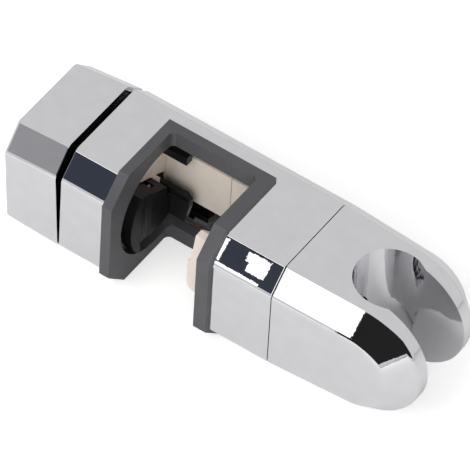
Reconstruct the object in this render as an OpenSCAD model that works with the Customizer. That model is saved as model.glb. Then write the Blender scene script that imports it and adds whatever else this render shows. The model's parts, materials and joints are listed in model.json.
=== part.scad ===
// Shower rail slider: an eight-sided body with a rail notch, a sprung brake jaw
// worked by a tilting end cap, and a fork that swivels and holds a hand shower.
// X runs along the body to the fork, Z runs along the rail, and Y runs from the
// open side of the notch to the closed one. The origin is on the rail's axis.

/* [Body] */
// Width of the body, from its open side to its closed side
body_w = 40; // [38:0.5:44]
// Height of the body along the rail
body_h = 39.4; // [38:0.2:44]
// Leg of the slanted long edges
edge_cut = 6.8; // [5:0.2:8]
// Length of the body from the cap gap to the swivel seam
body_len = 67.6; // [66:0.5:76]
// Wall of the body and of the cap
shell_wall = 2.2; // [1.8:0.1:2.4]
// Thickness of the body's end wall at the swivel
end_wall = 4; // [3:0.5:5]

/* [Rail seat] */
// Diameter of the rail
rail_d = 22; // [20:0.5:23]
// Distance from the cap end of the body to the rail's axis
rail_from_end = 28.5; // [28.4:0.1:29]
// Distance from the body's middle plane to the rail's axis, on the open side
rail_offset = 4.9; // [4.7:0.1:5.5]
// Clearance between the seat's curved faces and the rail
rail_clear = 0.05; // [0.02:0.01:0.1]

/* [Frame of the notch] */
// Distance from the cap end of the body to the frame
frame_from_end = 14.2; // [14:0.1:14.8]
// Thickness of the frame's wall on the jaw side
jaw_flange_t = 3.1; // [2.4:0.1:3.4]
// Clear length of the notch
notch_len = 27.4; // [27:0.2:29]
// Thickness of the frame's wall on the fork side
fork_flange_t = 4; // [3.2:0.2:5]
// Distance that the frame stands out of the body
frame_proud = 1.2; // [0.6:0.1:1.6]
// Distance from the middle plane to the back of the notch
notch_back = 6.2; // [6.2:0.1:6.6]
// Radius in the notch's inner corners
notch_corner = 1.6; // [0.5:0.1:2]
// Thickness of the frame's bars at the back of the notch
bar_t = 3; // [2:0.2:3.4]
// Height of each bar at the back of the notch
bar_h = 5.2; // [4:0.2:6]
// Least width of the frame below the round opening for the jaw
opening_margin = 3.3; // [3:0.1:4]

/* [Brake jaw] */
// Distance between the frame's opening and the jaw's round outline
jaw_gap = 3.1; // [2.8:0.1:4]
// Radius of the curved bottom edge of the jaw's face
face_low_r = 18.8; // [18:0.1:20]
// Depth that the rail sinks into the jaw's face
jaw_seat_depth = 0.3; // [0.3:0.05:0.9]
// Wall between the return spring and the rail
jaw_floor = 2; // [1.6:0.1:2.6]
// Reach of the side wing from the cap end of the body
wing_reach = 23.7; // [21:0.1:24.4]
// Reach of the upper arm from the cap end of the body
arm_reach = 21.5; // [18:0.5:22.5]
// Wire diameter of the return spring
spring_wire = 1; // [0.8:0.1:1.2]
// Mean diameter of the return spring
spring_d = 6.2; // [6:0.1:6.8]
// Number of turns of the return spring
spring_turns = 4.5; // [3:0.5:5]

/* [Guide and back pads] */
// Distance from the cap end of the body to the face of the guide plate
guide_face = 12.6; // [12.4:0.1:12.8]
// Thickness of the guide plate
guide_t = 1.5; // [1.2:0.1:1.8]
// Distance from the middle plane to the face of the back pads
pad_face = 11; // [10.6:0.1:11.5]
// Height of the back pads
pad_h = 16.8; // [12:0.2:17]
// Distance from the cap end of the body to the joint between the back pads
pad_joint = 33.6; // [28:0.2:40]
// Height of the fixed jaw
fixed_jaw_h = 22.6; // [18:0.2:26]
// Radius of the fixed jaw's corners
fixed_jaw_round = 3; // [1:0.5:4]
// Reach of the fixed jaw's lower lip from the frame
fixed_jaw_reach = 8.2; // [7:0.1:8.6]
// Distance that the fixed jaw's upper lip steps back at mid height
upper_lip_step = 0.9; // [0.4:0.1:1.4]

/* [Release cap] */
// Length of the cap
cap_len = 17.2; // [14:0.2:24]
// Distance that each side of the cap draws in at its end
cap_taper = 0.9; // [0:0.1:1.6]
// Angle that the cap leans out at rest, in degrees
cap_lean = 3; // [2:0.25:3.5]
// Gap between the cap and the body when the cap is pressed
cap_gap = 0.35; // [0.3:0.05:0.6]
// Diameter of the hinge pin and of the yoke's pins
pin_d = 3; // [2:0.1:3.2]
// Diameter of the pins between the yoke and the jaw
link_d = 2.4; // [1.6:0.1:2.6]
// Running clearance on the radius of each pin
pin_clear = 0.05; // [0.03:0.01:0.1]

/* [Handset fork] */
// Distance from the swivel seam to the axis of the handset bore
fork_neck = 23.9; // [23:0.2:30]
// Radius of the fork's round end
fork_end_r = 18.8; // [17.5:0.1:19.4]
// Width of the fork at the axis of the handset bore
fork_end_w = 38.4; // [35:0.2:39.5]
// Radius of the handset bore at the top
bore_top_r = 10.05; // [9:0.05:10.5]
// Radius of the handset bore at the bottom
bore_bottom_r = 8.9; // [8.6:0.05:9.4]
// Width of the hose slot
slot_w = 17; // [12:0.2:17.2]
// Gap at the swivel seam
seam_gap = 0.15; // [0.1:0.05:0.3]

/* [Swivel] */
// Radius of the fork's spigot
spigot_r = 8; // [7:0.1:9]
// Wall of the swivel bush
bush_wall = 1.5; // [1:0.1:2]
// Running clearance on the radius of the spigot
spigot_clear = 0.06; // [0.04:0.01:0.1]
// Diameter of the swivel screw
screw_d = 4; // [3:0.5:5]
// Diameter of the hole that gives access to the screw's head
access_d = 7.6; // [7.4:0.2:9]

/* [Hidden] */
$fn = 64;

// Clearances between fixed neighbours and between neighbours that move
fit = 0.1;
play = 0.3;
// Overlap that a cutting shape takes past the face that it opens
cut = 1;

// Frame and notch
seat_r = rail_d / 2 + rail_clear;
frame_x = frame_from_end;
notch_x = frame_x + jaw_flange_t;
notch_end = notch_x + notch_len;
frame_end = notch_end + fork_flange_t;
rim_y = notch_back + bar_t;
bar_gap = body_h + 2 * frame_proud - 2 * bar_h;
opening_y = 0.6;
opening_z = -0.8;
jaw_opening_r = body_h / 2 + frame_proud + opening_z - opening_margin;
hook_l = 5;
hook_t = 1.5;
hook_reach = 2.6;
fixed_jaw_near = 8;
fixed_jaw_far = 7.4;
fixed_jaw_slope = 45;

// End plate in the mouth of the body
plate_x = 1;
plate_t = 2;
plate_back = plate_x + plate_t;
guide_x = guide_face - guide_t;
boss_r = 3.2;
boss_gap = 0.4;
boss_y = body_w / 2 - shell_wall - boss_r - boss_gap;
boss_z = -body_h / 2 + edge_cut + 0.7;
self_tap_r = 1.3;
self_tap_head_r = 2.3;
self_tap_head_t = 1.3;
plate_screw_l = guide_x - plate_back - cut;

// Brake jaw: the outline is a disc with a sloping top
jaw_r = jaw_opening_r - jaw_gap;
jaw_y = 2.6;
jaw_z = -2.6;
jaw_top_y = -7.3;
jaw_top_z = 6.3;
jaw_top_slope = 26;
jaw_far_y = pad_face - 3 * play;
jaw_back = guide_x - 0.2;
jaw_plate_t = 1.9;
jaw_front_x = rail_from_end - seat_r + jaw_seat_depth;
face_low_y = -1.2;
face_low_z = 6.5;
lip_r = jaw_r + 2.7;
lip_t = 2.4;
lip_y = 4.4;
lip_z = -4.6;
lip_far_y = lip_y - lip_r + 2 * lip_t;
wing_y = seat_r - rail_offset;
wing_t = 1.9;
wing_low_z = -11.7;
wing_high_z = -1.7;
wing_cut_x = 1.3;
wing_cut_z = 6;
wing_top_cut = 1.6;
arm_y = 7.4;
arm_t = 2.6;
arm_low_z = pad_h / 2 + play;
arm_h = 2.8;
guide_rib_y = 4.5;
guide_rib_w = 1.6;
guide_rib_low = -3;

// Yoke that turns the push of the cap into the pull on the jaw
yoke_x = 6.3;
yoke_z = 4;
yoke_y = 2.2;
lug_t = 2;
yoke_arm_t = 2.6;
yoke_side_gap = 1.7;
yoke_half = body_w / 2 - shell_wall - yoke_side_gap - lug_t - play - yoke_arm_t / 2 - yoke_y;
yoke_arm_d = 3;
yoke_bar_h = 2.6;
yoke_bar_low = body_h / 2 - shell_wall - yoke_bar_h - 2.5;
link_z = boss_z + boss_r + 2 * play + link_d;
boss_wall = 1.2;
lug_mid = yoke_half - yoke_arm_t / 2 - play - lug_t / 2;
nose_z = yoke_bar_low + yoke_bar_h / 2;
nose_r = 1.5;
nose_w = 10;

// Hinge of the cap
hinge_x = 4;
hinge_z = -body_h / 2 + shell_wall + pin_d / 2 + boss_wall + play;
ear_t = 2.7;
ear_y = body_w / 2 - edge_cut - 8;
lever_t = 2.6;
lever_inset = 1.2;
cap_screw_y = 9;
press_arm = nose_z - hinge_z;
jaw_travel = press_arm * (yoke_z - link_z) / (nose_z - yoke_z) * cap_lean * PI / 180;

// Spring between the end plate and the jaw
spring_y = -0.9;
spring_z = -1;
spring_r = (spring_d + spring_wire) / 2;
spring_collar = 1.2;
spring_x0 = plate_back + jaw_travel + fit;
spring_x1 = rail_from_end - seat_r - jaw_floor;

// Swivel
spigot_l = 5;
spigot_end = body_len + seam_gap - spigot_l;
bush_flange_t = spigot_l - seam_gap - end_wall - spigot_clear;
washer_r = spigot_r + bush_wall + 1.5;
washer_t = 1.5;
wave_t = 1;
nut_t = 3.2;
nut_flats = 7;
screw_head_t = 2.4;
screw_head_r = access_d / 2 - 0.4;
screw_seat_depth = 8.4;
screw_seat_x = body_len + screw_seat_depth;
bore_x = body_len + fork_neck;

// Moves the body's own frame, which starts at its cap end on its middle plane,
// to the frame of the part, which is on the rail's axis
module from_rail() translate([-rail_from_end, rail_offset, 0]) children();

// An outline in Y and Z, drawn out along X
module along_x(x0, x1) translate([x0, 0, 0]) rotate([90, 0, 90]) linear_extrude(x1 - x0) children();

module rod_x(x0, x1, r) translate([x0, 0, 0]) rotate([0, 90, 0]) cylinder(h = x1 - x0, r = r);

module rod_y(y0, y1, r) translate([0, y0, 0]) rotate([-90, 0, 0]) cylinder(h = y1 - y0, r = r);

module box(low, high) translate(low) cube(high - low);

module octagon(w, h, leg) polygon([
    [-w / 2 + leg, -h / 2], [w / 2 - leg, -h / 2], [w / 2, -h / 2 + leg], [w / 2, h / 2 - leg],
    [w / 2 - leg, h / 2], [-w / 2 + leg, h / 2], [-w / 2, h / 2 - leg], [-w / 2, -h / 2 + leg]]);

// The body's section, grown or shrunk by the same distance on all eight sides
module section(grow = 0)
    octagon(body_w + 2 * grow, body_h + 2 * grow, edge_cut + grow * (2 - sqrt(2)));

// The self-tapping screw that holds the small mouldings, with its head at x
module self_tap(x, y, z, l, grow = 0) translate([x, y, z]) {
    rod_x(-self_tap_head_t, grow, self_tap_head_r + grow);
    rod_x(-fit, l, self_tap_r + (grow > 0 ? fit : 0));
}

// Both arms of the yoke, with the other arm on the low side of Y
module at_yoke_sides() for (side = [0, 1])
    translate([0, yoke_y, 0]) mirror([0, side, 0]) translate([0, yoke_half, 0]) children();

module body_shell() color("silver") from_rail() difference() {
    union() {
        difference() {
            along_x(0, body_len) section();
            along_x(-cut, body_len - end_wall) section(-shell_wall);
        }
        for (side = [-1, 1]) intersection() {
            translate([0, side * boss_y, boss_z]) rod_x(plate_back, guide_x, boss_r);
            along_x(0, body_len) section(-shell_wall / 2);
        }
    }
    box([frame_x, -body_w, -body_h], [frame_end, rim_y, body_h]);
    rod_x(body_len - end_wall - cut, body_len + cut, spigot_r + spigot_clear + bush_wall);
    for (side = [-1, 1]) translate([0, side * boss_y, boss_z]) rod_x(plate_back - cut, guide_x - cut, self_tap_r);
}

module end_plate() color("dimgray") from_rail() difference() {
    union() {
        along_x(plate_x, plate_back) section(-shell_wall - fit);
        // Ears of the cap hinge
        for (side = [-1, 1]) hull() {
            y0 = side > 0 ? ear_y + ear_t + play : -ear_y - 2 * ear_t - play;
            translate([hinge_x, 0, hinge_z]) rod_y(y0, y0 + ear_t, pin_d / 2 + boss_wall);
            box([plate_x, y0, hinge_z - pin_d / 2 - boss_wall],
                [plate_back, y0 + ear_t, hinge_z + pin_d / 2 + boss_wall]);
        }
        // Lugs outside the arms of the yoke
        at_yoke_sides() yoke_lug();
        // Collar that centres the spring
        translate([0, spring_y, spring_z]) rod_x(plate_x, plate_back + spring_collar, spring_r + boss_wall);
    }
    translate([0, spring_y, spring_z]) rod_x(plate_back, spring_x1, spring_r + play);
    translate([hinge_x, 0, hinge_z]) rod_y(-body_w, body_w, pin_d / 2);
    translate([yoke_x, 0, yoke_z]) rod_y(-body_w, body_w, pin_d / 2);
    // Ways for the ears and the nose of the cap lever
    for (side = [-1, 1]) {
        y0 = side > 0 ? ear_y - play : -ear_y - ear_t - play;
        box([0, y0, -body_h / 2], [plate_back + cut, y0 + ear_t + 2 * play, hinge_z + pin_d / 2 + 2 * boss_wall]);
    }
    box([0, yoke_y - nose_w / 2 - play, nose_z - nose_r - 1],
        [plate_back + cut, yoke_y + nose_w / 2 + play, nose_z + nose_r + 1]);
    for (side = [-1, 1]) self_tap(plate_x + self_tap_head_t, side * boss_y, boss_z, plate_t, fit);
    // Windows that the lower ends of the yoke and the jaw's lugs swing back into
    at_yoke_sides() box([0, -yoke_arm_t / 2 - 2 * play - lug_t, link_z - link_d - 4 * play],
        [plate_back + cut, yoke_arm_t / 2 + play, link_z + link_d + 3 * play]);
}

module yoke_lug() {
    y0 = yoke_arm_t / 2 + play;
    hull() {
        translate([yoke_x, 0, yoke_z]) rod_y(y0, y0 + lug_t, pin_d / 2 + boss_wall);
        box([plate_x, y0, yoke_z - pin_d / 2 - boss_wall], [plate_back, y0 + lug_t, yoke_z + pin_d / 2 + boss_wall]);
    }
}

module plate_screws() color("lightsteelblue") from_rail()
    for (side = [-1, 1]) self_tap(plate_x + self_tap_head_t, side * boss_y, boss_z, plate_screw_l);

module rail_frame() color([0.32, 0.32, 0.34]) from_rail() difference() {
    union() {
        intersection() {
            along_x(frame_x, frame_end) section(frame_proud);
            box([frame_x, -body_w, -body_h], [frame_end, rim_y, body_h]);
        }
        // Snap hooks behind the bars
        for (side = [-1, 1], x = [notch_x + notch_len / 4, notch_end - notch_len / 4])
            box([x - hook_l / 2, rim_y - bar_t / 2, side > 0 ? bar_gap / 2 : -bar_gap / 2 - hook_t],
                [x + hook_l / 2, rim_y + hook_reach, side > 0 ? bar_gap / 2 + hook_t : -bar_gap / 2]);
    }
    // Notch with rounded inner corners
    box([notch_x, -body_w, -body_h], [notch_end, notch_back - notch_corner, body_h]);
    box([notch_x + notch_corner, -body_w, -body_h], [notch_end - notch_corner, notch_back, body_h]);
    for (x = [notch_x + notch_corner, notch_end - notch_corner]) translate([x, notch_back - notch_corner, -body_h])
        cylinder(h = 2 * body_h, r = notch_corner);
    box([notch_x, 0, -bar_gap / 2], [notch_end, rim_y + cut, bar_gap / 2]);
    translate([0, opening_y, opening_z]) rod_x(frame_x - cut, notch_x + cut, jaw_opening_r);
    along_x(frame_x - cut, notch_x + cut) {
        wing_outline(play);
        arm_outline(play);
    }
    for (side = [-1, 1]) translate([0, fixed_jaw_y(), side * peg_z()]) rod_x(notch_end - cut, notch_end + peg_l(), 2);
}

function fixed_jaw_y() = -rail_offset - 1.4;
function peg_z() = fixed_jaw_h / 2 - 4;
function peg_l() = 2.6;

// The jaw's outline in Y and Z
module jaw_outline(grow = 0) difference() {
    translate([jaw_y, jaw_z]) circle(jaw_r + grow);
    translate([jaw_far_y + min(grow, play), -body_h]) square([body_w, 2 * body_h]);
    translate([jaw_top_y, jaw_top_z + grow]) rotate(-jaw_top_slope) translate([-body_w, 0]) square([2 * body_w, body_h]);
}

// The curved lip along the jaw's near edge, which runs on below its face
module lip_outline() intersection() {
    translate([opening_y, opening_z]) circle(jaw_opening_r - play);
    difference() {
        translate([lip_y, lip_z]) circle(lip_r);
        translate([lip_y, lip_z]) circle(lip_r - lip_t);
        translate([jaw_top_y, jaw_top_z]) rotate(-jaw_top_slope) translate([-body_w, 0]) square([2 * body_w, body_h]);
    }
    translate([-body_w, -body_h]) square([body_w + lip_far_y, 2 * body_h]);
}

// The slot that the guide's rib runs in
module rib_slot(grow = 0) translate([guide_rib_y - grow, guide_rib_low - grow]) square([guide_rib_w + 2 * grow, body_h]);

// The wing and the arm that stand off the jaw on its closed side
module wing_outline(grow = 0)
    translate([wing_y - grow, wing_low_z - grow]) square([wing_t + 2 * grow, wing_high_z - wing_low_z + 2 * grow]);

module arm_outline(grow = 0)
    translate([arm_y - grow, arm_low_z - grow]) square([arm_t + 2 * grow, arm_h + 2 * grow]);

module jaw_guide() color([0.86, 0.8, 0.72]) from_rail() {
    difference() {
        union() {
            along_x(guide_x, guide_face) section(-shell_wall - fit);
            difference() {
                along_x(guide_x, frame_x) section(-shell_wall - fit);
                along_x(guide_x - cut, frame_x + cut) section(-shell_wall - guide_t);
                box([guide_face, pad_face - fit, -body_h], [frame_x + cut, body_w, body_h]);
            }
        }
        along_x(guide_x - cut, frame_x + cut) {
            difference() {
                jaw_outline(play);
                rib_slot();
            }
            wing_outline(play);
            arm_outline(play);
        }
    }
    // Rib that keeps the jaw from turning
    along_x(guide_x, frame_x) intersection() {
        translate([guide_rib_y, guide_rib_low]) square([guide_rib_w, jaw_top_z]);
        jaw_outline(2 * play);
    }
}

module back_pad_between(x0, x1) difference() {
    box([x0, pad_face, -pad_h / 2], [x1, body_w / 2 - shell_wall, pad_h / 2]);
    box([x0 + guide_t, pad_face + 2, -pad_h / 2 + 2], [x1 - guide_t, body_w / 2, pad_h / 2 - 2]);
}

module back_pad() color([0.9, 0.85, 0.77]) from_rail() back_pad_between(guide_face, pad_joint);

module back_pad_end() color([0.9, 0.85, 0.77]) from_rail() back_pad_between(pad_joint + fit, frame_end);

// A rectangle with rounded corners, from one corner
module rounded(w, h, r) {
    translate([0, r]) square([w, h - 2 * r]);
    translate([r, 0]) square([w - 2 * r, h]);
    for (x = [r, w - r], y = [r, h - r]) translate([x, y]) circle(r);
}

module rail_hollow(r) translate([rail_from_end, -rail_offset, -body_h]) cylinder(h = 2 * body_h, r = r);

module fixed_jaw() color([0.9, 0.85, 0.77]) from_rail() {
    y0 = -rail_offset - fixed_jaw_near;
    y1 = -rail_offset + fixed_jaw_far;
    lip_x = notch_end - fixed_jaw_reach;
    difference() {
        intersection() {
            translate([lip_x, y1, -fixed_jaw_h / 2]) rotate([90, 0, 0]) linear_extrude(y1 - y0)
                rounded(fixed_jaw_reach + 2 * fixed_jaw_round, fixed_jaw_h, fixed_jaw_round);
            box([lip_x, y0, -fixed_jaw_h / 2], [notch_end, y1, fixed_jaw_h / 2]);
        }
        rail_hollow(seat_r);
        // The upper lip steps back and leans away from the rail
        translate([lip_x + upper_lip_step, 0, 0]) rotate([0, 7, 0]) box([-body_w, -body_w, 0], [0, body_w, body_h]);
        // The top slopes down towards the closed side
        translate([0, y0 + lip_t, fixed_jaw_h / 2]) rotate([-fixed_jaw_slope, 0, 0]) box([0, -cut, 0], [body_len, body_w, body_h]);
    }
    for (side = [-1, 1]) translate([0, fixed_jaw_y(), side * peg_z()]) rod_x(notch_end - cut, notch_end + peg_l(), 2);
}

// The wing with its corners cut away, seen along Y
module wing(x0) translate([0, wing_y + wing_t, 0]) rotate([90, 0, 0]) linear_extrude(wing_t) polygon([
    [x0, wing_low_z], [wing_reach - wing_cut_x, wing_low_z], [wing_reach, wing_low_z + wing_cut_z],
    [wing_reach, wing_high_z - wing_top_cut], [wing_reach - wing_top_cut, wing_high_z], [x0, wing_high_z]]);

module brake_jaw() color([0.1, 0.1, 0.11]) from_rail() difference() {
    union() {
        // Disc that slides in the guide
        along_x(jaw_back, guide_face) jaw_outline();
        // Face that the rail sinks into
        along_x(jaw_back, jaw_front_x) intersection() {
            jaw_outline();
            translate([face_low_y, face_low_z]) circle(face_low_r);
            translate([-body_w, -body_h]) square([body_w + wing_y + fit, 2 * body_h]);
        }
        along_x(guide_face + jaw_travel + play, jaw_front_x) lip_outline();
        // Plate behind the guide that stops the jaw and carries the arm
        along_x(jaw_back - jaw_plate_t, jaw_back) intersection() {
            union() {
                jaw_outline(2 * play);
                translate([guide_rib_y - 2, jaw_z])
                    square([arm_t + arm_y - guide_rib_y + 2, arm_low_z + arm_h - jaw_z]);
                translate([yoke_y - lug_mid, link_z - link_d / 2]) square([2 * lug_mid, link_d]);
            }
            translate([yoke_y - yoke_half + yoke_arm_t / 2 + play, -body_h])
                square([2 * yoke_half - yoke_arm_t - 2 * play, 2 * body_h]);
        }
        wing(jaw_back - jaw_plate_t);
        along_x(jaw_back - jaw_plate_t, arm_reach) arm_outline();
        // Lugs for the pins of the yoke
        at_yoke_sides() hull() {
            y0 = -yoke_arm_t / 2 - play - lug_t;
            translate([yoke_x, 0, link_z]) rod_y(y0, y0 + lug_t, link_d / 2 + boss_wall - play);
            box([jaw_back - jaw_plate_t, y0, link_z - link_d / 2 - boss_wall],
                [jaw_back, y0 + lug_t, link_z + link_d / 2 + boss_wall]);
        }
    }
    rail_hollow(seat_r);
    along_x(jaw_back, body_w) rib_slot(play);
    translate([yoke_x, 0, link_z]) rod_y(-body_w, body_w, link_d / 2);
    translate([0, spring_y, spring_z]) rod_x(0, spring_x1, spring_r + play);
}

// A coil with closed ends, swept along X as one tube
module return_spring() color("lightsteelblue") from_rail() translate([0, spring_y, spring_z]) {
    sides = 8;
    rings = 14 * spring_turns;
    r = spring_d / 2;
    w = spring_wire / 2;
    x0 = spring_x0 + w;
    x1 = spring_x1 - w;
    points = [for (i = [0 : rings], j = [0 : sides - 1])
        let (t = i / rings, a = 360 * spring_turns * t, b = 360 * j / sides, q = r + w * cos(b))
        [x0 + (x1 - x0) * t + w * sin(b), q * cos(a), q * sin(a)]];
    skin = [for (i = [0 : rings - 1], j = [0 : sides - 1])
        let (k = (j + 1) % sides, a = i * sides, b = a + sides)
        [a + j, a + k, b + k, b + j]];
    ends = [[for (j = [sides - 1 : -1 : 0]) j], [for (j = [0 : sides - 1]) rings * sides + j]];
    polyhedron(points, concat(skin, ends));
}

module release_yoke() color([0.25, 0.25, 0.27]) from_rail() difference() {
    union() {
        at_yoke_sides() {
            box([yoke_x - yoke_arm_d / 2, -yoke_arm_t / 2, link_z],
                [yoke_x + yoke_arm_d / 2, yoke_arm_t / 2, yoke_bar_low + yoke_bar_h]);
            translate([yoke_x, 0, yoke_z]) rod_y(-yoke_arm_t / 2, yoke_arm_t / 2, pin_d / 2 + boss_wall);
            box([yoke_x - link_d / 2 - 1, -yoke_arm_t / 2, link_z - link_d],
                [yoke_x + link_d / 2 + 1, yoke_arm_t / 2, link_z + link_d]);
        }
        box([yoke_x - yoke_arm_d / 2, yoke_y - yoke_half - yoke_arm_t / 2, yoke_bar_low],
            [yoke_x + yoke_arm_d / 2, yoke_y + yoke_half + yoke_arm_t / 2, yoke_bar_low + yoke_bar_h]);
    }
    translate([yoke_x, 0, yoke_z]) rod_y(-body_w, body_w, pin_d / 2 + pin_clear);
    // Slots for the link pins, open at the ends of the arms
    at_yoke_sides() {
        translate([yoke_x, 0, link_z]) rod_y(-yoke_arm_t, yoke_arm_t, link_d / 2 + fit);
        box([yoke_x - link_d / 2 - fit, -yoke_arm_t, link_z - body_h], [yoke_x + link_d / 2 + fit, yoke_arm_t, link_z]);
    }
}

module yoke_pins() color("lightsteelblue") from_rail() at_yoke_sides() translate([yoke_x, 0, yoke_z])
    rod_y(-yoke_arm_t / 2, yoke_arm_t / 2 + play + lug_t, pin_d / 2);

module link_pins() color("lightsteelblue") from_rail() at_yoke_sides() translate([yoke_x, 0, link_z])
    rod_y(-yoke_arm_t / 2 - play - lug_t, yoke_arm_t / 2, link_d / 2);

// Leans what belongs to the cap out about its hinge
module leaning() translate([hinge_x, 0, hinge_z]) rotate([0, -cap_lean, 0]) translate([-hinge_x, 0, -hinge_z]) children();

module cap_lever() color([0.08, 0.08, 0.09]) from_rail() difference() {
    union() {
        leaning() along_x(-cap_gap - lever_inset - lever_t, -cap_gap - lever_inset) section(-shell_wall - fit);
        // Ears on the hinge pin
        for (side = [-1, 1]) hull() {
            y0 = side > 0 ? ear_y : -ear_y - ear_t;
            translate([hinge_x, 0, hinge_z]) rod_y(y0, y0 + ear_t, pin_d / 2 + boss_wall);
            leaning() box([-cap_gap - lever_inset - cut, y0, hinge_z - pin_d / 2],
                [-cap_gap - lever_inset, y0 + ear_t, hinge_z + pin_d / 2 + boss_wall]);
        }
        // Nose that pushes the yoke's bar
        translate([yoke_x - yoke_arm_d / 2 - fit - nose_r, 0, nose_z])
            rod_y(yoke_y - nose_w / 2, yoke_y + nose_w / 2, nose_r);
        box([-cap_gap - lever_inset - 2 * cut, yoke_y - nose_w / 2, nose_z - nose_r],
            [yoke_x - yoke_arm_d / 2 - fit - nose_r, yoke_y + nose_w / 2, nose_z + nose_r]);
    }
    translate([hinge_x, 0, hinge_z]) rod_y(-body_w, body_w, pin_d / 2 + pin_clear);
    leaning() for (side = [-1, 1]) translate([0, side * cap_screw_y, 0]) {
        rod_x(-cap_gap - lever_inset - self_tap_head_t, 0, self_tap_head_r + fit);
        rod_x(-cap_gap - lever_inset - lever_t - cut, 0, self_tap_r + fit);
    }
}

module hinge_pin() color("lightsteelblue") from_rail() translate([hinge_x, 0, hinge_z])
    rod_y(-ear_y - 2 * ear_t - play, ear_y + 2 * ear_t + play, pin_d / 2);

module release_cap() color("silver") from_rail() leaning() difference() {
    union() {
        difference() {
            hull() {
                along_x(-cap_gap - 0.01, -cap_gap) section();
                along_x(-cap_gap - cap_len, -cap_gap - cap_len + 0.01)
                    octagon(body_w - cap_taper, body_h - 2 * cap_taper, edge_cut);
            }
            along_x(-cap_gap - cap_len + shell_wall + cap_taper, cut) section(-shell_wall);
        }
        for (side = [-1, 1]) translate([0, side * cap_screw_y, 0])
            rod_x(-cap_gap - cap_len + shell_wall, -cap_gap - lever_inset - lever_t, boss_r);
    }
    for (side = [-1, 1]) translate([0, side * cap_screw_y, 0])
        rod_x(-cap_gap - cap_len + 2 * shell_wall, -cap_gap - lever_inset, self_tap_r);
}

module cap_screws() color("lightsteelblue") from_rail() leaning() for (side = [-1, 1]) translate([0, side * cap_screw_y, 0]) {
    rod_x(-cap_gap - lever_inset - self_tap_head_t, -cap_gap - lever_inset, self_tap_head_r);
    rod_x(-cap_gap - cap_len + 2 * shell_wall, -cap_gap - lever_inset - fit, self_tap_r);
}

module handset_fork() color("silver") from_rail() difference() {
    union() {
        // Eight-sided neck that draws in towards the round end
        hull() {
            along_x(body_len + seam_gap, body_len + seam_gap + 0.01) section();
            along_x(bore_x - 0.01, bore_x) octagon(fork_end_w, 2 * fork_end_r, edge_cut);
        }
        // Round end with the slanted edge carried round it
        translate([bore_x, 0, 0]) {
            rod_y(-fork_end_w / 2 + edge_cut, fork_end_w / 2 - edge_cut, fork_end_r);
            for (side = [-1, 1]) translate([0, side * (fork_end_w / 2 - edge_cut), 0]) rotate([-90 * side, 0, 0])
                cylinder(h = edge_cut, r1 = fork_end_r, r2 = fork_end_r - edge_cut);
        }
        rod_x(spigot_end, body_len + seam_gap + cut, spigot_r);
    }
    // Tapered bore and hose slot
    translate([bore_x, 0, 0]) {
        translate([0, 0, -body_h / 2]) cylinder(h = body_h, r1 = bore_bottom_r, r2 = bore_top_r);
        box([0, -slot_w / 2, -body_h], [2 * fork_end_r, slot_w / 2, body_h]);
    }
    // Screw hole, with its head let in from the bore
    rod_x(spigot_end - cut, bore_x, screw_d / 2 + fit);
    rod_x(screw_seat_x, bore_x, access_d / 2);
}

module swivel_bush() color([0.9, 0.85, 0.77]) from_rail() difference() {
    union() {
        rod_x(body_len - end_wall, body_len - play, spigot_r + spigot_clear + bush_wall);
        rod_x(body_len - end_wall - bush_flange_t, body_len - end_wall, washer_r);
    }
    rod_x(spigot_end - cut, body_len + cut, spigot_r + spigot_clear);
}

module swivel_screw() color("lightsteelblue") from_rail() difference() {
    union() {
        rod_x(spigot_end - washer_t - wave_t - nut_t - 0.8, screw_seat_x + fit, screw_d / 2);
        rod_x(screw_seat_x, screw_seat_x + screw_head_t, screw_head_r);
    }
    // Cross recess
    for (a = [0, 90]) translate([screw_seat_x + screw_head_t, 0, 0]) rotate([a, 0, 0])
        box([-1.2, -2, -0.4], [cut, 2, 0.4]);
}

module swivel_washer() color("gainsboro") from_rail() difference() {
    rod_x(spigot_end - washer_t, spigot_end, washer_r);
    rod_x(spigot_end - washer_t - cut, spigot_end + cut, screw_d / 2 + fit);
}

module wave_washer() color("gainsboro") from_rail() difference() {
    rod_x(spigot_end - washer_t - wave_t, spigot_end - washer_t, screw_d + 1);
    rod_x(spigot_end - washer_t - wave_t - cut, spigot_end, screw_d / 2 + fit);
}

module swivel_nut() color([0.75, 0.65, 0.4]) from_rail() difference() {
    translate([spigot_end - washer_t - wave_t - nut_t, 0, 0]) rotate([0, 90, 0])
        cylinder(h = nut_t, d = nut_flats / cos(30), $fn = 6);
    rod_x(spigot_end - washer_t - wave_t - nut_t - cut, spigot_end, screw_d / 2);
}

body_shell();
end_plate();
plate_screws();
rail_frame();
jaw_guide();
back_pad();
back_pad_end();
fixed_jaw();
brake_jaw();
return_spring();
release_yoke();
yoke_pins();
link_pins();
cap_lever();
hinge_pin();
release_cap();
cap_screws();
handset_fork();
swivel_bush();
swivel_screw();
swivel_washer();
wave_washer();
swivel_nut();
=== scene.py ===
import json
import math

import bmesh
import bpy
from bpy.props import FloatProperty, FloatVectorProperty, PointerProperty
from mathutils import Matrix, Vector


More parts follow.
